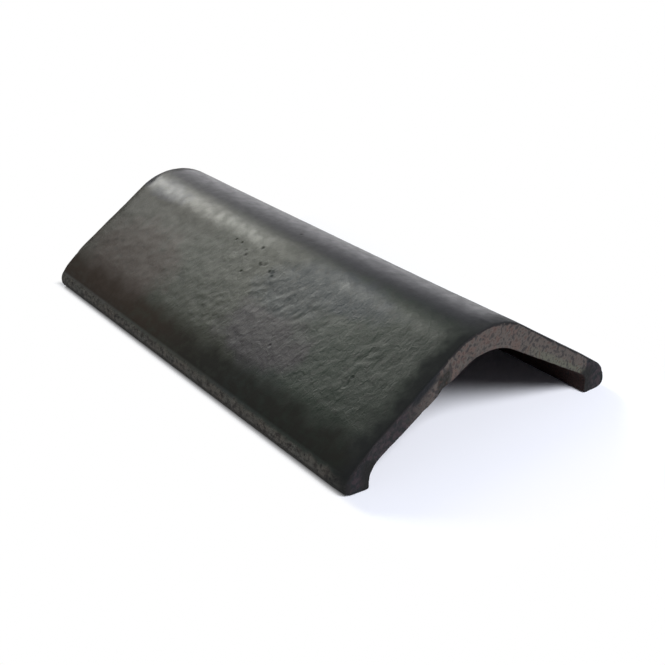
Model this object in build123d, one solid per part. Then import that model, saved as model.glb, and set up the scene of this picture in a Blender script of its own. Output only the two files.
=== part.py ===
"""Angle ridge tile of blackened clay, pressed and fired in one piece.

The tile straddles the ridge of a pitched roof. Its section is a wide inverted V: two wings meet in a
rounded crown and end in heels, which are turned down so that they bed flat on mortar. The wall is
thickest over the crown and thins a little towards the heels. Tiles lie end to end along the ridge, so
both ends are cut square.

Frame: +X along the ridge, +Y across it, +Z up, in millimetres. The origin is under the middle of the
tile, on the level that the heels stand on.
"""

import os
from math import cos, radians, tan

from build123d import *

# Overall sizes
tile_length = 450.0
tile_width = 260.0

# Slope of the wings' upper faces, and how much flatter their undersides are, because the wall thins
wing_pitch = 33.5
wing_taper = 3.0

# Crown: the rounding above and below, and the wall at its top
crown_radius = 62.0
soffit_radius = 48.0
crown_wall = 20.6

# Heels: height of the side, where the wing's upper face would run out to it, and width of the foot
side_height = 18.2
heel_width = 22.5

# Roundings: foot, upright stretch left between foot and shoulder, and root of the heel under the wing
foot_radius = 5.5
side_flat = 0.6
heel_root_radius = 8.0

# Arrises: round the cut ends, and round the rim of the hollow
end_arris = 3.5
rim_arris = 1.8

# Heights and places that follow from these sizes
half_width = tile_width / 2
heel_line = half_width - heel_width
upper_slope = radians(wing_pitch)
under_slope = radians(wing_pitch - wing_taper)
upper_peak = side_height + half_width * tan(upper_slope)
crown_top = upper_peak - crown_radius * (1 / cos(upper_slope) - 1)
under_peak = crown_top - crown_wall + soffit_radius * (1 / cos(under_slope) - 1)
heel_root = under_peak - heel_line * tan(under_slope)

# The shoulder is one arc that takes up the whole side above the foot's rounding
shoulder_turn = radians(90 - wing_pitch)
shoulder_radius = (side_height - foot_radius - side_flat) / tan(shoulder_turn / 2)


def outer_form():
    """The block under the upper face, down to the bedding level, with its ends rounded over."""
    with BuildPart() as form:
        with BuildSketch(Plane.YZ):
            with BuildLine():
                FilletPolyline(
                    (0, upper_peak),
                    (half_width, side_height),
                    (half_width, 0),
                    (-half_width, 0),
                    (-half_width, side_height),
                    radius=[crown_radius, shoulder_radius, foot_radius, foot_radius, shoulder_radius],
                    close=True,
                )
            make_face()
        extrude(amount=tile_length / 2, both=True)
        ends = form.faces().filter_by(Axis.X)
        fillet(ends.edges(), end_arris)
    return form.part


def hollow():
    """The space under the arch, between the heels, open at both ends and below."""
    with BuildPart() as space:
        with BuildSketch(Plane.YZ):
            with BuildLine():
                FilletPolyline(
                    (0, under_peak),
                    (heel_line, heel_root),
                    (heel_line, -side_height),
                    (-heel_line, -side_height),
                    (-heel_line, heel_root),
                    radius=[soffit_radius, heel_root_radius, 0, 0, heel_root_radius],
                    close=True,
                )
            make_face()
        extrude(amount=tile_length, both=True)
    return space.part


def ridge_tile():
    """The tile: the form with its hollow, whose rim runs along both heels and over both ends."""
    form = outer_form()
    space = hollow()
    body = form - space
    rim = new_edges(form, space, combined=body)
    return body.fillet(rim_arris, rim)


os.makedirs("parts", exist_ok=True)
export_step(ridge_tile(), "parts/ridge_tile.step")
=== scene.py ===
"""Looks of a smoke-blackened clay ridge tile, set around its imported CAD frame. Metres, +Z up."""

from math import cos, pi, radians, sin, tan

import bpy
import numpy as np
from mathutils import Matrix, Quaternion, Vector, noise


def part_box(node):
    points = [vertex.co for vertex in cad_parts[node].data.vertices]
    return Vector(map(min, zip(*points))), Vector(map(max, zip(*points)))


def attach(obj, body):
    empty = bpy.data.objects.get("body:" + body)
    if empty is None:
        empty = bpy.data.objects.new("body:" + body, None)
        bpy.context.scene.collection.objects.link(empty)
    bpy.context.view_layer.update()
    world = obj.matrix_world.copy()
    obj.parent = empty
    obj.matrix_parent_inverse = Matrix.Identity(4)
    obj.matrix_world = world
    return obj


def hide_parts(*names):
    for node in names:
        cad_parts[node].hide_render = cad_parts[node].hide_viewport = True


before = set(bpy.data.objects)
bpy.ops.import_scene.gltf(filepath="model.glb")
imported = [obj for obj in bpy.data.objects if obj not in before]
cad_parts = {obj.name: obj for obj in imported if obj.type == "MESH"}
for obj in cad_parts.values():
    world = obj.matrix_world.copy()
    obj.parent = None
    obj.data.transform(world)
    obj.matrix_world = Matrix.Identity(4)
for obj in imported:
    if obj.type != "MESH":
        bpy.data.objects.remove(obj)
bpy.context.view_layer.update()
scene = bpy.context.scene

# Viewpoint
# The tile is seen from the left of its near end and from above, along the left wing, through a
# moderately long lens that is held a little out of level.
eye = Vector((0.7067, -0.4954, 0.4258))
looks_at = Vector((0.0174, 0.0163, 0.0))
lens_tilt = radians(-0.6)
film_width = 36.0
focal_length = 59.0

viewpoint = bpy.data.objects.new("viewpoint", bpy.data.cameras.new("viewpoint"))
viewpoint.data.sensor_width = film_width
viewpoint.data.lens = focal_length
viewpoint.rotation_mode = "QUATERNION"
viewpoint.rotation_quaternion = (looks_at - eye).to_track_quat("-Z", "Y") @ Quaternion((0, 0, 1), lens_tilt)
viewpoint.location = eye
scene.collection.objects.link(viewpoint)
scene.camera = viewpoint

# Pressed body of the tile
# One slab of clay, pressed over a former: two wings with a rounded crown and turned-down heels, the
# left one filled out at its root. It is drawn here as rings of the wall's section, one behind another
# along the ridge.
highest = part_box("ridge_tile")[1]
half_length = highest.x
half_width = highest.y
crown_height = highest.z

mm = 0.001
wing_pitch = radians(33.5)
under_pitch = radians(30.5)
crown_radius = 62 * mm
soffit_radius = 48 * mm
crown_wall = 20.6 * mm
heel_width = 22.5 * mm
foot_radius = 5.5 * mm
side_flat = 0.6 * mm
heel_root_radius = 8 * mm
filled_root_radius = 20 * mm
rim_radius = 1.8 * mm
arc_points = 33
steps_across = 181
steps_through = 9

upper_peak = crown_height + crown_radius * (1 / cos(wing_pitch) - 1)
side_height = upper_peak - half_width * tan(wing_pitch)
shoulder_radius = (side_height - foot_radius - side_flat) / tan((pi / 2 - wing_pitch) / 2)
heel_line = half_width - heel_width
under_peak = crown_height - crown_wall + soffit_radius * (1 / cos(under_pitch) - 1)
heel_root = under_peak - heel_line * tan(under_pitch)


def rounded_path(corners, radii, count):
    """Evenly spaced points along straight runs, with an arc of each radius at the corners between."""
    points = [np.array(corners[0])]
    for before, corner, after, radius in zip(corners, corners[1:], corners[2:], radii):
        corner = np.array(corner)
        back = np.array(before) - corner
        on = np.array(after) - corner
        back, on = back / np.linalg.norm(back), on / np.linalg.norm(on)
        half_angle = np.arccos(back @ on) / 2
        bisector = (back + on) / np.linalg.norm(back + on)
        centre = corner + bisector * radius / sin(half_angle)
        start = corner + back * radius / tan(half_angle) - centre
        end = corner + on * radius / tan(half_angle) - centre
        for share in np.linspace(0, 1, arc_points):
            spoke = start * (1 - share) + end * share
            points.append(centre + spoke / np.linalg.norm(spoke) * radius)
    points.append(np.array(corners[-1]))
    points = np.array(points)
    travelled = np.r_[0, np.cumsum(np.linalg.norm(np.diff(points, axis=0), axis=1))]
    even = np.linspace(0, travelled[-1], count)
    path = np.stack([np.interp(even, travelled, points[:, k]) for k in (0, 1)], 1)
    return path, even - travelled[-1] / 2


upper_path, upper_reach = rounded_path(
    [
        (-half_width + foot_radius, 0),
        (-half_width, 0),
        (-half_width, side_height),
        (0, upper_peak),
        (half_width, side_height),
        (half_width, 0),
        (half_width - foot_radius, 0),
    ],
    [foot_radius, shoulder_radius, crown_radius, shoulder_radius, foot_radius],
    steps_across,
)
under_path, under_reach = rounded_path(
    [
        (-heel_line - rim_radius, 0),
        (-heel_line, 0),
        (-heel_line, heel_root),
        (0, under_peak),
        (heel_line, heel_root),
        (heel_line, 0),
        (heel_line + rim_radius, 0),
    ],
    [rim_radius, filled_root_radius, soffit_radius, heel_root_radius, rim_radius],
    steps_across,
)

# A ring runs over the upper face, in under the right heel, back along the underside and out under
# the left heel. Reach is the way down the slope from the ridge line, negative on the left wing, and
# depth runs through the wall, from 0 on the upper face to 1 on the underside.
into = np.linspace(0, 1, steps_through)[1:-1]
right_foot = upper_path[-1] + (under_path[-1] - upper_path[-1]) * into[:, None]
left_foot = under_path[0] + (upper_path[0] - under_path[0]) * into[:, None]
ring = np.concatenate([upper_path, right_foot, under_path[::-1], left_foot])
ring_size = len(ring)
reach = np.concatenate([
    upper_reach,
    upper_reach[-1] + (under_reach[-1] - upper_reach[-1]) * into,
    under_reach[::-1],
    under_reach[0] + (upper_reach[0] - under_reach[0]) * into,
])
depth = np.concatenate([np.zeros(steps_across), into, np.ones(steps_across), into[::-1]])
along_ring = np.roll(ring, -1, 0) - np.roll(ring, 1, 0)
outward = np.stack([-along_ring[:, 1], along_ring[:, 0]], 1)
outward /= np.linalg.norm(outward, axis=1)[:, None]

# Worn arris round each end, keener on the right heel and blunter on the left, with small chips knocked
# out of it and one notch in the near end's inner edge.
near_arris = 1.5 * mm
far_arris = 1.0 * mm
under_arris = 0.8 * mm
least_arris = 0.5 * mm
widest_arris = 7 * mm
keen_heel = 0.5
blunt_heel = 2.8
heel_from = 0.8 * half_width
arris_wander = 0.4
wear_size = 14 * mm
nick_size = 5 * mm
nick_share = 0.6
chip_size = 7 * mm
chip_bite = 2.6 * mm
chip_rarity = 0.3
notch_reach = 46 * mm
notch_width = 5 * mm
notch_bite = 3.0 * mm
near_seed = 3
far_seed = 11


def ripple(place, size, seed):
    """Smooth noise from -1 to 1, with lumps of about that size."""
    return noise.noise(Vector(place) / size + Vector((seed * 17.3, seed * 5.1, seed * 9.7)))


def arris_radius(upper_arris, seed):
    """The rounding of an end's edge at each point of the ring."""
    plain = upper_arris + (under_arris - upper_arris) * depth
    worn = np.array([ripple((0, y, z), wear_size, seed) for y, z in ring])
    nicks = np.array([ripple((0, y, z), nick_size, seed + 1) for y, z in ring])
    chips = np.array([max(ripple((0, y, z), chip_size, seed + 2) - chip_rarity, 0) for y, z in ring])
    heels = [-half_width, -heel_from, 0, half_width]
    plain = plain * np.interp(ring[:, 0], heels, [blunt_heel, 1, 1, keen_heel])
    radius = plain * (1 + arris_wander * (worn + nick_share * nicks)) + chip_bite * chips
    return np.clip(radius, least_arris, widest_arris)


# Rows stand about 2 mm apart, and closer round each arris. A point's data are its place, its reach and
# depth, how far it has turned on to the cut end, and the way out of the face.
row_step = 2.1 * mm
arris_steps = 8
outward_columns = slice(6, 8)
edge_rows = widest_arris * (1 - np.cos(np.linspace(0, pi / 2, arris_steps)))
plain_rows = np.linspace(widest_arris, 2 * half_length - widest_arris, int(2 * half_length / row_step))
from_far = np.concatenate([edge_rows[:-1], plain_rows, 2 * half_length - edge_rows[-2::-1]])
stations = from_far - half_length
row_count = len(stations)

near_radius = arris_radius(near_arris, near_seed)
near_radius += notch_bite * depth * np.exp(-((reach + notch_reach) / notch_width) ** 2)
far_radius = arris_radius(far_arris, far_seed)
rows = []
for x in stations:
    radius = near_radius if x > 0 else far_radius
    bite = np.clip(radius - (half_length - abs(x)), 0, None)
    inset = radius - np.sqrt(radius ** 2 - bite ** 2)
    section = ring - outward * inset[:, None]
    rows.append(np.column_stack([np.full(ring_size, x), section, reach, depth, inset / radius, outward]))
body = np.concatenate(rows)

first = np.arange(row_count - 1)[:, None] * ring_size
here = first + np.arange(ring_size)
after = first + (np.arange(ring_size) + 1) % ring_size
quads = [np.stack([here, here + ring_size, after + ring_size, after], -1).reshape(-1, 4)]


def cut_end(row, first_new):
    """One end's face: a grid through the wall, between the upper and the under edge of that row. Its
    points are numbered from first_new. They get no way out, so that no hollow moves them."""
    start = row * ring_size
    upper = start + np.arange(steps_across)
    under = start + steps_across + len(into) + np.arange(steps_across)[::-1]
    grid = np.zeros((steps_across, steps_through), int)
    grid[:, 0] = upper
    grid[:, -1] = under
    grid[0, 1:-1] = (start + 2 * steps_across + len(into) + np.arange(len(into)))[::-1]
    grid[-1, 1:-1] = start + steps_across + np.arange(len(into))
    grid[1:-1, 1:-1] = first_new + np.arange((steps_across - 2) * len(into)).reshape(-1, len(into))
    share = into[None, :, None]
    inner = body[upper][1:-1, None] * (1 - share) + body[under][1:-1, None] * share
    inner[..., outward_columns] = 0
    faces = np.stack([grid[:-1, :-1], grid[1:, :-1], grid[1:, 1:], grid[:-1, 1:]], -1).reshape(-1, 4)
    return inner.reshape(-1, body.shape[1]), faces


far_points, far_faces = cut_end(0, len(body))
near_points, near_faces = cut_end(row_count - 1, len(body) + len(far_points))
body = np.concatenate([body, far_points, near_points])
reach_at, depth_at, turned_at = body[:, 3:6].T
quads = np.concatenate(quads + [far_faces, near_faces[:, ::-1]])

# Drying, slicking and patting
# The ridge line sagged a little at mid-length, the upper face was slicked by hand, so it is never
# flat, its near end was patted down, and the wings carry short wrinkles. The underside and the heels
# are rough. All of it lies inside the pressed size.
sag = 1.8 * mm
slick_depth = 0.3 * mm
uneven_depth = 0.21 * mm
patted_length = 24 * mm
patted_drop = 0.5 * mm
patted_on_right = 0.2
worn_shoulder = 1.7 * mm
worn_on_right = 0.4
wrinkle_depth = 0.24 * mm
wrinkle_lean = radians(34)
wrinkle_width = 4.6 * mm
wrinkle_length = 7.4 * mm
wrinkle_sway = 3 * mm
wrinkle_sway_size = 16 * mm
side_apart = 4.5
rough_depth = 0.45 * mm
broad_size = 95 * mm
flock_size = 40 * mm
middling_size = 28 * mm
swell_size = 13 * mm
dimple_size = 7 * mm
fine_size = 3.6 * mm
tear_size = 5 * mm
crumb_size = 2.4 * mm
flat_of_end = 0.95
wall_spread = 20 * mm

# Where each of these sets in or fades out: through the wall, along the tile and down the slope
skin_fades = (0.0, 0.12)
underside_starts = (0.9, 1.0)
wrinkles_start = (-110 * mm, 80 * mm)
far_edge_starts = (half_length - 8 * mm, half_length - 2 * mm)
wing_starts = (34 * mm, 66 * mm)
wing_fades = (118 * mm, 134 * mm)
wear_starts = (117 * mm, 142 * mm)
wear_fades = (143 * mm, 160 * mm)
heel_starts = (148 * mm, 154 * mm)


def smooth(low, high, value):
    """0 below low, 1 above high, and an even turn between."""
    share = min(max((value - low) / (high - low), 0), 1)
    return share * share * (3 - 2 * share)


def wrinkles(x, down, side):
    """Short hollows in the slicked face, from 0 to 1, which climb the slope and lean to the near end."""
    spot = (x, side * down, 0)
    across = x * cos(wrinkle_lean) + down * sin(wrinkle_lean)
    across += wrinkle_sway * ripple(spot, wrinkle_sway_size, 7)
    line = x * sin(wrinkle_lean) - down * cos(wrinkle_lean)
    line += wrinkle_sway * ripple(spot, wrinkle_sway_size, 8)
    lump = noise.noise(Vector((across / wrinkle_width, line / wrinkle_length, side * side_apart)))
    return smooth(-0.25, 0.45, lump)


def hollow(x, down, side, through):
    """How deep a point of the skin or the underside lies below the pressed face."""
    spot = (x, side * down, through * 0.1)
    skin = 1 - smooth(*skin_fades, through)
    underside = smooth(*underside_starts, through)
    fine = ripple(spot, fine_size, 4)
    middling = 0.5 + 0.5 * ripple(spot, middling_size, 2)
    deep = skin * slick_depth * (0.2 + 0.3 * ripple(spot, broad_size, 1) + 0.2 * middling)
    if skin > 0:
        on_wing = smooth(*wing_starts, down) * (1 - smooth(*wing_fades, down))
        lumpy = 0.9 + 0.6 * ripple(spot, swell_size, 6) + 0.35 * ripple(spot, dimple_size, 10)
        deep += skin * uneven_depth * lumpy * (0.5 + 0.7 * on_wing)
        wrinkled = smooth(-0.3, 0.35, ripple(spot, flock_size, 5)) * 0.85 + 0.15
        wrinkled *= on_wing * (0.25 + 0.75 * smooth(*wrinkles_start, x))
        deep += skin * wrinkle_depth * wrinkled * wrinkles(x, down, side)
        worn = smooth(*wear_starts, down) * (1 - smooth(*wear_fades, down))
        deep += skin * worn_shoulder * worn * (1 if side < 0 else worn_on_right)
        patted = smooth(half_length - patted_length, half_length, x) ** 2
        deep += skin * patted_drop * patted * (1 if side < 0 else patted_on_right)
    heel = skin * smooth(*heel_starts, down)
    far_edge = skin * 0.4 * smooth(*far_edge_starts, -x)
    return deep + rough_depth * max(heel, far_edge, underside) * (0.4 + 0.4 * fine + 0.2 * middling)


moved = body[:, :3].copy()
for k, (x, y, z, reach_here, through, turned, out_y, out_z) in enumerate(body):
    inward = hollow(x, abs(reach_here), 1 if reach_here > 0 else -1, through)
    moved[k, 1] -= out_y * inward
    moved[k, 2] -= out_z * inward
    near_ridge = 1 - smooth(0, half_width, abs(y))
    moved[k, 2] -= sag * (1 - (x / half_length) ** 2) * near_ridge * (1 - turned)
    if turned > flat_of_end:
        torn = 0.5 + 0.5 * ripple((x, y * 1.6, z), tear_size, 8) + 0.35 * ripple((x, y, z), crumb_size, 9)
        moved[k, 0] -= np.sign(x) * rough_depth * max(torn, 0)
moved[:, 2] = np.maximum(moved[:, 2], 0)

mesh = bpy.data.meshes.new("pressed_tile")
mesh.from_pydata(moved.tolist(), [], quads.tolist())
mesh.update()
mesh.shade_smooth()
tile = bpy.data.objects.new("pressed_tile", mesh)
scene.collection.objects.link(tile)
spread = np.column_stack([body[:, 0], reach_at, depth_at * wall_spread])
for name, kind, key, data in (
    ("spread", "FLOAT_VECTOR", "vector", spread),
    ("through", "FLOAT", "value", depth_at),
    ("turned", "FLOAT", "value", turned_at),
):
    mesh.attributes.new(name, kind, "POINT").data.foreach_set(key, data.astype(np.float32).ravel())

# Smoke-blackened clay
# The kiln was starved of air at the end of the firing, so smoke went into the slicked skin: brown at
# the far end, olive, blue and green along the wing, and black on the shoulders and near arris, where
# painted shade darkens it further. Each heel's foot carries a painted shadow where it meets the table.
# The cut ends show the grey-brown body with its red grog.


def fill(tree, socket, value):
    """Links a socket's output to an input, or sets a number or colour on it."""
    if isinstance(value, bpy.types.NodeSocket):
        tree.links.new(value, socket)
    else:
        socket.default_value = value


def put(tree, kind, settings=None, **inputs):
    """Adds a shader node. Its inputs are named by their sockets, with _ for a space."""
    node = tree.nodes.new("ShaderNode" + kind)
    for name, value in (settings or {}).items():
        setattr(node, name, value)
    for name, value in inputs.items():
        fill(tree, node.inputs[name.replace("_", " ")], value)
    return node


def reckon(tree, operation, first, second=0.0, third=0.0):
    """One sum on values, such as ADD, MULTIPLY or MAXIMUM."""
    node = put(tree, "Math", {"operation": operation})
    for socket, value in zip(node.inputs, (first, second, third)):
        fill(tree, socket, value)
    return node.outputs[0]


def rise(tree, value, low, high):
    """0 at low and 1 at high, with an even turn. With low above high it falls."""
    settings = {"interpolation_type": "SMOOTHSTEP"}
    if low < high:
        return put(tree, "MapRange", settings, Value=value, From_Min=low, From_Max=high).outputs["Result"]
    settled = put(tree, "MapRange", settings, Value=value, From_Min=high, From_Max=low)
    return reckon(tree, "SUBTRACT", 1.0, settled.outputs["Result"])


def stain(tree, share, under, over):
    """The colour under, covered with over by that share."""
    node = put(tree, "Mix", {"data_type": "RGBA"})
    for socket, value in zip((node.inputs[0], node.inputs[6], node.inputs[7]), (share, under, over)):
        fill(tree, socket, (*value, 1) if isinstance(value, tuple) else value)
    return node.outputs[2]


def between(tree, share, first, second):
    """A value that goes from the first to the second as share goes from 0 to 1."""
    node = put(tree, "Mix", {"data_type": "FLOAT"})
    for socket, value in zip((node.inputs[0], node.inputs[2], node.inputs[3]), (share, first, second)):
        fill(tree, socket, value)
    return node.outputs[0]


# Grain of fired clay: lumps of grog, and open pits where grains were dragged out.
grain = bpy.data.node_groups.new("clay_grain", "ShaderNodeTree")
grain.interface.new_socket("Place", in_out="INPUT", socket_type="NodeSocketVector")
for name in ("Lump Size", "Pit Size", "Pit Share"):
    grain.interface.new_socket(name, in_out="INPUT", socket_type="NodeSocketFloat")
for name in ("Lumps", "Pits", "Height"):
    grain.interface.new_socket(name, in_out="OUTPUT", socket_type="NodeSocketFloat")
given = grain.nodes.new("NodeGroupInput").outputs
lump_scale = reckon(grain, "DIVIDE", 1.0, given["Lump Size"])
pit_scale = reckon(grain, "DIVIDE", 1.0, given["Pit Size"])
lumps = put(grain, "TexNoise", Vector=given["Place"], Scale=lump_scale, Detail=3.0).outputs["Fac"]
wobble = put(grain, "TexNoise", Vector=given["Place"], Scale=pit_scale, Detail=2.0).outputs["Color"]
bent = put(grain, "VectorMath", {"operation": "MULTIPLY_ADD"})
for socket, value in zip(bent.inputs, (wobble, given["Pit Size"], given["Place"])):
    fill(grain, socket, value)
cells = put(grain, "TexVoronoi", Vector=bent.outputs[0], Scale=pit_scale)
cell_draw = put(grain, "SeparateColor", Color=cells.outputs["Color"]).outputs["Red"]
open_cell = reckon(grain, "LESS_THAN", cell_draw, given["Pit Share"])
pits = reckon(grain, "MULTIPLY", rise(grain, cells.outputs["Distance"], 0.52, 0.06), open_cell)
results = grain.nodes.new("NodeGroupOutput").inputs
for name, value in (("Lumps", lumps), ("Pits", pits), ("Height", reckon(grain, "SUBTRACT", lumps, pits))):
    fill(grain, results[name], value)

clay = bpy.data.materials.new("blackened_clay")
clay.use_nodes = True
tree = clay.node_tree
shader = tree.nodes["Principled BSDF"]
spread_place = put(tree, "Attribute", {"attribute_name": "spread"}).outputs["Vector"]
through_wall = put(tree, "Attribute", {"attribute_name": "through"}).outputs["Fac"]
turned_to_end = put(tree, "Attribute", {"attribute_name": "turned"}).outputs["Fac"]
body_place = put(tree, "TexCoord").outputs["Object"]
spread_axes = put(tree, "SeparateXYZ", Vector=spread_place).outputs
along = spread_axes["X"]
reach_here = spread_axes["Y"]
down = reckon(tree, "ABSOLUTE", reach_here)
body_axes = put(tree, "SeparateXYZ", Vector=body_place).outputs
outer_side = reckon(tree, "ABSOLUTE", body_axes["Y"])
height = body_axes["Z"]


def grained(place, lump_size, pit_size, pit_share):
    """Places the clay grain on this material, and gives its outputs."""
    node = put(tree, "Group", {"node_tree": grain})
    for socket, value in zip(node.inputs, (place, lump_size, pit_size, pit_share)):
        fill(tree, socket, value)
    return node.outputs


def cloud(place, size, detail=3.0):
    """Even noise from 0 to 1, with lumps of about that size."""
    return put(tree, "TexNoise", Vector=place, Scale=1 / size, Detail=detail, Roughness=0.55).outputs["Fac"]


def sway(place, size, width):
    """Noise about 0, to that width either way, for the wandering edge of a stain."""
    return reckon(tree, "MULTIPLY_ADD", cloud(place, size), 4 * width, -2 * width)


patch_edge = (1.3, 0.3)
patch_wander = 0.5
patch_wander_size = 24 * mm


def patch(x, reach_middle, half_x, half_reach):
    """A soft stain with a ragged edge round one spot of the spread-out face, from 0 to 1."""
    off_x = reckon(tree, "DIVIDE", reckon(tree, "SUBTRACT", along, x), half_x)
    off_reach = reckon(tree, "DIVIDE", reckon(tree, "SUBTRACT", reach_here, reach_middle), half_reach)
    squares = reckon(tree, "ADD", reckon(tree, "POWER", reckon(tree, "ABSOLUTE", off_x), 2.0),
                     reckon(tree, "POWER", reckon(tree, "ABSOLUTE", off_reach), 2.0))
    wandering = reckon(tree, "ADD", squares, sway(spread_place, patch_wander_size, patch_wander))
    return rise(tree, wandering, *patch_edge)


# The slicked skin: the smoke's colour from the far end to the near one, and tinges in it, by middle,
# half length and half width in mm
smoke_tints = [
    (0.00, (0.024, 0.022, 0.016)),
    (0.20, (0.024, 0.022, 0.016)),
    (0.32, (0.018, 0.021, 0.013)),
    (0.55, (0.016, 0.018, 0.010)),
    (0.66, (0.009, 0.014, 0.012)),
    (0.80, (0.006, 0.013, 0.007)),
    (1.00, (0.005, 0.010, 0.006)),
]
tinges = [
    (62, -98, 58, 30, (0.016, 0.012, 0.016)),
    (50, -58, 45, 22, (0.009, 0.014, 0.017)),
    (95, -34, 70, 20, (0.006, 0.012, 0.018)),
    (-150, -105, 70, 48, (0.031, 0.019, 0.014)),
    (-190, -26, 45, 14, (0.019, 0.019, 0.030)),
]
crown_tint = (0.012, 0.012, 0.016)
crown_cover = 0.85
crown_starts = (-22 * mm, -4 * mm)
mottle_tint = (0.006, 0.006, 0.005)
mottle_cover = 0.5

drifted = reckon(tree, "ADD", along, sway(spread_place, 70 * mm, 30 * mm))
smoke = put(tree, "ValToRGB", Fac=reckon(tree, "MULTIPLY_ADD", drifted, 1 / (2 * half_length), 0.5))
while len(smoke.color_ramp.elements) < len(smoke_tints):
    smoke.color_ramp.elements.new(0.5)
for element, (spot, tint) in zip(smoke.color_ramp.elements, smoke_tints):
    element.position = spot
    element.color = (*tint, 1)
skin = smoke.outputs["Color"]
for x, reach_middle, half_x, half_reach, tint in tinges:
    tinge = patch(x * mm, reach_middle * mm, half_x * mm, half_reach * mm)
    skin = stain(tree, tinge, skin, tint)
crown_edge = reckon(tree, "ADD", reach_here, sway(spread_place, 14 * mm, 4 * mm))
crown_side = rise(tree, crown_edge, *crown_starts)
skin = stain(tree, reckon(tree, "MULTIPLY", crown_side, crown_cover), skin, crown_tint)
mottle = rise(tree, cloud(spread_place, 7 * mm), 0.5, 0.75)
mottle = reckon(tree, "MULTIPLY", mottle, mottle_cover)
skin = stain(tree, mottle, skin, mottle_tint)

# Soot on the shoulders and the near end, darkened further with painted shade, the speckled strip of each
# heel, and a painted shadow on each heel's foot where it meets the table
soot_and_shade_starts = (117 * mm, 138 * mm)
soot_and_shade_ends = (152 * mm, 149 * mm)
soot_and_shade_blackens = (-90 * mm, 40 * mm)
strip_starts = (151.5 * mm, 155.5 * mm)
foot_shade_starts = (159.5 * mm, 161.5 * mm)
near_soot_and_shade_starts = (201 * mm, 224 * mm)
brown_soot_and_shade = (0.016, 0.008, 0.003)
black_soot_and_shade = (0.003, 0.003, 0.001)
near_soot_and_shade_tint = (0.003, 0.004, 0.0045)
speckle_brown = (0.110, 0.084, 0.064)
speckle_green = (0.074, 0.086, 0.076)
smut_tint = (0.030, 0.026, 0.022)
foot_shade_tint = (0.010, 0.009, 0.007)
least_soot_and_shade_cover = 0.53
soot_and_shade_cover_range = 0.45
foot_shade_cover = 0.75
near_soot_and_shade_cover = 0.9

# The shoulder band is partly soot and partly painted shade, darkest where the wing turns down to the heel
soot_and_shade_reach = reckon(tree, "ADD", down, sway(spread_place, 26 * mm, 7 * mm))
shoulder_soot_and_shade = rise(tree, soot_and_shade_reach, *soot_and_shade_starts)
shoulder_soot_and_shade = reckon(tree, "MULTIPLY", shoulder_soot_and_shade, rise(tree, down, *soot_and_shade_ends))
soot_and_shade_tint = stain(tree, rise(tree, along, *soot_and_shade_blackens), brown_soot_and_shade, black_soot_and_shade)
soot_and_shade_cover = rise(tree, cloud(spread_place, 9 * mm), 0.66, 0.42)
soot_and_shade_cover = reckon(tree, "MULTIPLY_ADD", soot_and_shade_cover, soot_and_shade_cover_range, least_soot_and_shade_cover)
skin = stain(tree, reckon(tree, "MULTIPLY", shoulder_soot_and_shade, soot_and_shade_cover), skin, soot_and_shade_tint)
heel_strip = reckon(tree, "ADD", down, sway(spread_place, 9 * mm, 2.4 * mm))
heel_strip = rise(tree, heel_strip, *strip_starts)
speckled = stain(tree, cloud(spread_place, 22 * mm), speckle_brown, speckle_green)
smut = rise(tree, cloud(spread_place, 4.5 * mm), 0.42, 0.66)
speckled = stain(tree, smut, speckled, smut_tint)
skin = stain(tree, heel_strip, skin, speckled)
# Painted shadow: each heel's foot is darkened where it meets the table
foot_shade = reckon(tree, "MULTIPLY", rise(tree, down, *foot_shade_starts), foot_shade_cover)
skin = stain(tree, foot_shade, skin, foot_shade_tint)
# Near end: partly soot and partly painted shade, where the patted end turns away from the light
near_soot_and_shade = reckon(tree, "ADD", along, sway(spread_place, 15 * mm, 9 * mm))
near_soot_and_shade = rise(tree, near_soot_and_shade, *near_soot_and_shade_starts)
near_soot_and_shade = reckon(tree, "MULTIPLY", near_soot_and_shade, reckon(tree, "MULTIPLY_ADD", crown_side, -0.5, 1.0))
skin = stain(tree, reckon(tree, "MULTIPLY", near_soot_and_shade, near_soot_and_shade_cover), skin, near_soot_and_shade_tint)

# Pits: single ones, by place and radius in mm, small ones in a cluster by the crown, and specks on the
# far edge and heels
single_pits = [
    (-15, -33, 2.6), (-26, -46, 2.4), (14, -49, 2.3), (20, -52, 2.3), (-42, -38, 1.9), (-51, -38, 1.7),
    (-15, -61, 1.7), (-3, 0, 2.0), (78, -102, 2.2), (168, -89, 2.0),
]
pit_lip = 1.2
speck_size = 2.8 * mm
cluster_pit_size = 6.5 * mm
fine_lump_size = 1.3 * mm
pit_tint = (0.004, 0.004, 0.004)
pit_cover = 0.75
grain_pit_depth = 0.45
single_pit_depth = 0.6
far_specks_start = (-215 * mm, -223 * mm)

ragged = sway(spread_place, 4 * mm, 0.7 * mm)
open_pits = 0.0
for x, reach_middle, radius in single_pits:
    gap = put(tree, "VectorMath", {"operation": "DISTANCE"})
    fill(tree, gap.inputs[0], spread_place)
    fill(tree, gap.inputs[1], (x * mm, reach_middle * mm, 0))
    from_middle = reckon(tree, "ADD", gap.outputs["Value"], ragged)
    open_pits = reckon(tree, "MAXIMUM", open_pits, rise(tree, from_middle, pit_lip * radius * mm, 0))
cluster = patch(-8 * mm, -46 * mm, 34 * mm, 18 * mm)
far_edge = reckon(tree, "ADD", along, sway(spread_place, 20 * mm, 4 * mm))
far_edge = rise(tree, far_edge, *far_specks_start)
cluster_share = reckon(tree, "MULTIPLY", cluster, 0.16)
skin_grain = grained(spread_place, fine_lump_size, cluster_pit_size, cluster_share)
rough_skin = reckon(tree, "MAXIMUM", heel_strip, far_edge)
speck_share = reckon(tree, "MULTIPLY", rough_skin, 0.4)
specks = grained(spread_place, fine_lump_size, speck_size, speck_share)["Pits"]
pits = reckon(tree, "MAXIMUM", reckon(tree, "MULTIPLY", skin_grain["Pits"], grain_pit_depth), specks)
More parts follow.
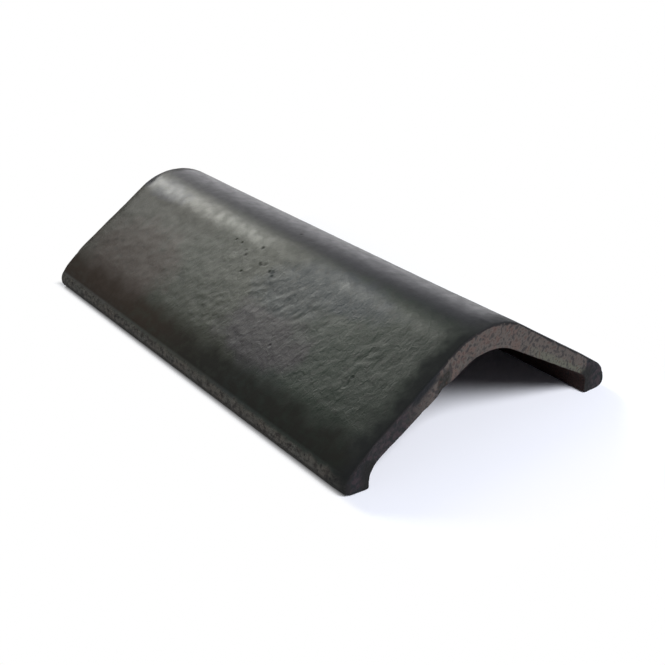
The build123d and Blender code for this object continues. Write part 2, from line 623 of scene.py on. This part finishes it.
pits = reckon(tree, "MAXIMUM", reckon(tree, "MULTIPLY", open_pits, single_pit_depth), pits)
skin = stain(tree, reckon(tree, "MULTIPLY", pits, pit_cover), skin, pit_tint)

# The cut ends: grey-brown body with redder and olive parts, dark lumps and grog, the stained notch,
# smoke on the left leg, the heels and the rim, and painted shade in the inner corner of each heel
cut_lump_size = 3.2 * mm
cut_pit_size = 3.8 * mm
cut_pit_share = 0.28
body_brown = (0.078, 0.064, 0.056)
body_grey = (0.047, 0.042, 0.039)
fired_red = (0.082, 0.046, 0.038)
fired_olive = (0.072, 0.073, 0.056)
notch_tint = (0.008, 0.008, 0.006)
lump_tint = (0.024, 0.021, 0.021)
grog_tint = (0.040, 0.021, 0.018)
leg_blue = (0.004, 0.006, 0.008)
leg_brown = (0.022, 0.015, 0.019)
corner_shade_tint = (0.004, 0.004, 0.004)
cut_pit_tint = (0.016, 0.011, 0.011)
rim_tint = (0.008, 0.007, 0.008)
rim_soot_tint = (0.004, 0.005, 0.007)
red_cover = 0.45
grog_cover = 0.6
leg_cover = 0.9
cut_pit_cover = 0.6
red_fades = (80 * mm, 30 * mm)
olive_starts = (30 * mm, 70 * mm)
leg_starts = (-50 * mm, -96 * mm)
heel_side_starts = (106.5 * mm, 108.5 * mm)
corner_starts = (99 * mm, 105 * mm)
corner_ends = (119 * mm, 110 * mm)
corner_below = (26 * mm, 19 * mm)

cut_grain = grained(body_place, cut_lump_size, cut_pit_size, cut_pit_share)
fired = stain(tree, cloud(body_place, 18 * mm), body_brown, body_grey)
red = reckon(tree, "MULTIPLY", rise(tree, cloud(body_place, 9 * mm), 0.48, 0.62), red_cover)
red = reckon(tree, "MULTIPLY", red, rise(tree, down, *red_fades))
fired = stain(tree, red, fired, fired_red)
notch = patch(half_length, -notch_reach, 30 * mm, 8 * mm)
notch = reckon(tree, "MULTIPLY", notch, rise(tree, through_wall, 0.15, 0.5))
fired = stain(tree, notch, fired, notch_tint)
olive = rise(tree, through_wall, 0.45, 0.8)
olive = reckon(tree, "MULTIPLY", olive, rise(tree, reach_here, *olive_starts))
fired = stain(tree, olive, fired, fired_olive)
fired = stain(tree, rise(tree, cut_grain["Lumps"], 0.54, 0.34), fired, lump_tint)
grog = rise(tree, cloud(body_place, 3.2 * mm, 1.0), 0.58, 0.68)
fired = stain(tree, reckon(tree, "MULTIPLY", grog, grog_cover), fired, grog_tint)
left_leg = reckon(tree, "ADD", reach_here, sway(body_place, 14 * mm, 8 * mm))
left_leg = rise(tree, left_leg, *leg_starts)
leg_cloud = rise(tree, cloud(body_place, 4.5 * mm), 0.40, 0.62)
leg_tint = stain(tree, leg_cloud, leg_blue, leg_brown)
fired = stain(tree, reckon(tree, "MULTIPLY", left_leg, leg_cover), fired, leg_tint)
fired = stain(tree, rise(tree, outer_side, *heel_side_starts), fired, leg_tint)
# Painted shade: the cut face darkens in the inner corner of each heel, by the arch
heel_corner_shade = reckon(tree, "MULTIPLY", rise(tree, outer_side, *corner_starts),
                     rise(tree, outer_side, *corner_ends))
heel_corner_shade = reckon(tree, "MULTIPLY", heel_corner_shade, rise(tree, height, *corner_below))
fired = stain(tree, heel_corner_shade, fired, corner_shade_tint)
fired = stain(tree, reckon(tree, "MULTIPLY", cut_grain["Pits"], cut_pit_cover), fired, cut_pit_tint)
smoked_rim = reckon(tree, "ADD", through_wall, sway(body_place, 5 * mm, 0.07))
fired = stain(tree, rise(tree, smoked_rim, 0.06, 0.0), fired, rim_tint)
rim_soot = patch(half_length, -68 * mm, 30 * mm, 17 * mm)
rim_soot = reckon(tree, "MULTIPLY", rim_soot, rise(tree, smoked_rim, 0.55, 0.2))
fired = stain(tree, rim_soot, fired, rim_soot_tint)

# The underside, with red sand from the former pressed into it
sand_lump_size = 1.2 * mm
sand_pit_size = 4 * mm
sand_pit_share = 0.3
dark_sand = (0.008, 0.004, 0.003)
red_sand = (0.028, 0.010, 0.007)
sand_pit_tint = (0.006, 0.005, 0.005)
sand_pit_cover = 0.8

sand = grained(body_place, sand_lump_size, sand_pit_size, sand_pit_share)
sanded = stain(tree, rise(tree, sand["Lumps"], 0.35, 0.65), dark_sand, red_sand)
sanded = stain(tree, reckon(tree, "MULTIPLY", sand["Pits"], sand_pit_cover), sanded, sand_pit_tint)

under = rise(tree, through_wall, 0.9, 1.0)
cut = rise(tree, reckon(tree, "ADD", turned_to_end, sway(body_place, 4 * mm, 0.12)), 0.22, 0.45)
colour = stain(tree, under, skin, sanded)
colour = stain(tree, cut, colour, fired)
fill(tree, shader.inputs["Base Color"], colour)

# Slicked clay shines a little, less so beside the crown on the far half, and the bands of soot and
# painted shade, pits, sand and broken clay don't
slicked_from = 0.28
slicked_range = 0.30
dull_roughness = 0.93
crown_wear = 0.15
shine = 0.35
flank_shine = 0.25

soot_and_shade_dull = reckon(tree, "MAXIMUM", shoulder_soot_and_shade, near_soot_and_shade)
worn_crown = patch(30 * mm, -27 * mm, 50 * mm, 12 * mm)
worn_crown = reckon(tree, "MULTIPLY", worn_crown, crown_wear)
dull = reckon(tree, "MAXIMUM", soot_and_shade_dull, worn_crown)
for share in (heel_strip, pits, reckon(tree, "MULTIPLY", far_edge, 0.5), under, cut):
    dull = reckon(tree, "MAXIMUM", dull, share)
slicked = reckon(tree, "MULTIPLY_ADD", cloud(spread_place, 9 * mm), slicked_range, slicked_from)
fill(tree, shader.inputs["Roughness"], between(tree, dull, slicked, dull_roughness))
flank = patch(-105 * mm, -37 * mm, 100 * mm, 12 * mm)
fill(tree, shader.inputs["Specular IOR Level"], between(tree, flank, shine, flank_shine))

# Relief finer than the mesh: short leaning strokes, lumps and pits, with heights in millimetres
stroke_width = 3.6 * mm
stroke_length = 5.4 * mm
stroke_height = 0.17
plain_height = 0.07
skin_pit_depth = -0.35
rough_height = 0.6
smooth_height = 0.06
sand_height = 0.6
cut_height = 0.8
strokes_start = (18 * mm, 48 * mm)
strokes_end = (150 * mm, 118 * mm)
strokes_grow = (-170 * mm, 30 * mm)

leaning = put(tree, "Mapping", Vector=spread_place, Rotation=(0, 0, wrinkle_lean))
leaning.inputs["Scale"].default_value = (1 / stroke_width, 1 / stroke_length, 1)
strokes = put(tree, "TexNoise", Vector=leaning.outputs[0], Scale=1.0, Detail=2.0, Distortion=1.0)
strokes = strokes.outputs["Fac"]
stroked = reckon(tree, "MULTIPLY", rise(tree, down, *strokes_start), rise(tree, down, *strokes_end))
stroked = reckon(tree, "MULTIPLY", stroked, rise(tree, along, *strokes_grow))
stroke_relief = reckon(tree, "MULTIPLY_ADD", stroked, stroke_height, plain_height)
strokes = reckon(tree, "MULTIPLY", strokes, stroke_relief)
skin_relief = reckon(tree, "MULTIPLY_ADD", pits, skin_pit_depth, strokes)
lump_height = reckon(tree, "MULTIPLY_ADD", rough_skin, rough_height, smooth_height)
skin_relief = reckon(tree, "MULTIPLY_ADD", skin_grain["Lumps"], lump_height, skin_relief)
relief = between(tree, under, skin_relief, reckon(tree, "MULTIPLY", sand["Height"], sand_height))
relief = between(tree, cut, relief, reckon(tree, "MULTIPLY", cut_grain["Height"], cut_height))
bump = put(tree, "Bump", Height=relief, Distance=1 * mm, Strength=1.0)
fill(tree, shader.inputs["Normal"], bump.outputs["Normal"])
mesh.materials.append(clay)

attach(tile, "root")
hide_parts("ridge_tile")

# Table and lamps
# A white table with a low white wall all round, which keeps the tile's shadow and turns plain white a
# little way off. A key lamp stands before the near end, a small one low beyond the far end draws the
# sheen along the crown, and a wide one behind lights the crown's right side.
table_radius = 7.0
wall_height = 1.0
round_steps = 64
table_white = (0.88, 0.90, 0.985, 1)

# Along each axis, in mm: how far out the table still shows its shade, and where it is plain white
plain_beyond = [("X", -225, -240), ("X", 250, 345), ("Y", -124, -135), ("Y", 120, 190)]

turns = np.linspace(0, 2 * pi, round_steps, endpoint=False)
floor_ring = [(table_radius * cos(turn), table_radius * sin(turn), 0) for turn in turns]
wall_top = [(x, y, wall_height) for x, y, z in floor_ring]
table_faces = [tuple(range(round_steps))]
for k in range(round_steps):
    after = (k + 1) % round_steps
    table_faces.append((after, k, k + round_steps, after + round_steps))
table_mesh = bpy.data.meshes.new("table")
table_mesh.from_pydata(floor_ring + wall_top, [], table_faces)
table = bpy.data.objects.new("table", table_mesh)
scene.collection.objects.link(table)

white = bpy.data.materials.new("white_table")
white.use_nodes = True
white_tree = white.node_tree
white_tree.nodes.clear()
lit = put(white_tree, "BsdfDiffuse", Color=table_white)
plain_white = put(white_tree, "Emission", Color=(1, 1, 1, 1), Strength=1.0)
ray = put(white_tree, "LightPath").outputs
seen = reckon(white_tree, "MAXIMUM", ray["Is Camera Ray"], ray["Is Glossy Ray"])
seen = reckon(white_tree, "MAXIMUM", seen, ray["Is Transmission Ray"])
spot_axes = put(white_tree, "SeparateXYZ", Vector=put(white_tree, "TexCoord").outputs["Object"]).outputs
clear_of_tile = 0.0
for axis, still_shaded, plain in plain_beyond:
    gone = rise(white_tree, spot_axes[axis], still_shaded * mm, plain * mm)
    clear_of_tile = reckon(white_tree, "MAXIMUM", clear_of_tile, gone)
mix = put(white_tree, "MixShader", Fac=reckon(white_tree, "MULTIPLY", seen, clear_of_tile))
white_tree.links.new(lit.outputs[0], mix.inputs[1])
white_tree.links.new(plain_white.outputs[0], mix.inputs[2])
put(white_tree, "OutputMaterial", Surface=mix.outputs[0])
table_mesh.materials.append(white)


def softbox(name, azimuth, elevation, distance, width, height, brightness, tint):
    """A rectangular soft lamp at that bearing from the tile's middle, turned to face it."""
    level = cos(radians(elevation))
    bearing = Vector((level * cos(radians(azimuth)), level * sin(radians(azimuth)), sin(radians(elevation))))
    lamp = bpy.data.lights.new(name, "AREA")
    lamp.shape = "RECTANGLE"
    lamp.size = width
    lamp.size_y = height
    lamp.energy = 4 * width * height * brightness
    lamp.color = tint
    holder = bpy.data.objects.new(name, lamp)
    holder.location = bearing * distance + Vector((0, 0, crown_height))
    holder.rotation_mode = "QUATERNION"
    holder.rotation_quaternion = bearing.to_track_quat("Z", "Y")
    holder.visible_camera = False
    scene.collection.objects.link(holder)


softbox("key", azimuth=8, elevation=42, distance=1.9, width=0.72, height=0.72,
        brightness=19.5, tint=(1, 1, 1))
softbox("sheen", azimuth=177.6, elevation=35.6, distance=2.0, width=0.61, height=0.66,
        brightness=11.9, tint=(0.995, 1, 0.93))
softbox("behind", azimuth=141, elevation=10, distance=2.6, width=2.2, height=0.9,
        brightness=1.4, tint=(0.97, 0.95, 1))

room_tint = (0.86, 0.92, 1.0, 1)
room_brightness = 0.13
studio = bpy.data.worlds.new("studio")
studio.use_nodes = True
room = studio.node_tree.nodes["Background"].inputs
room["Color"].default_value = room_tint
room["Strength"].default_value = room_brightness
scene.world = studio

scene.view_settings.view_transform = "Standard"
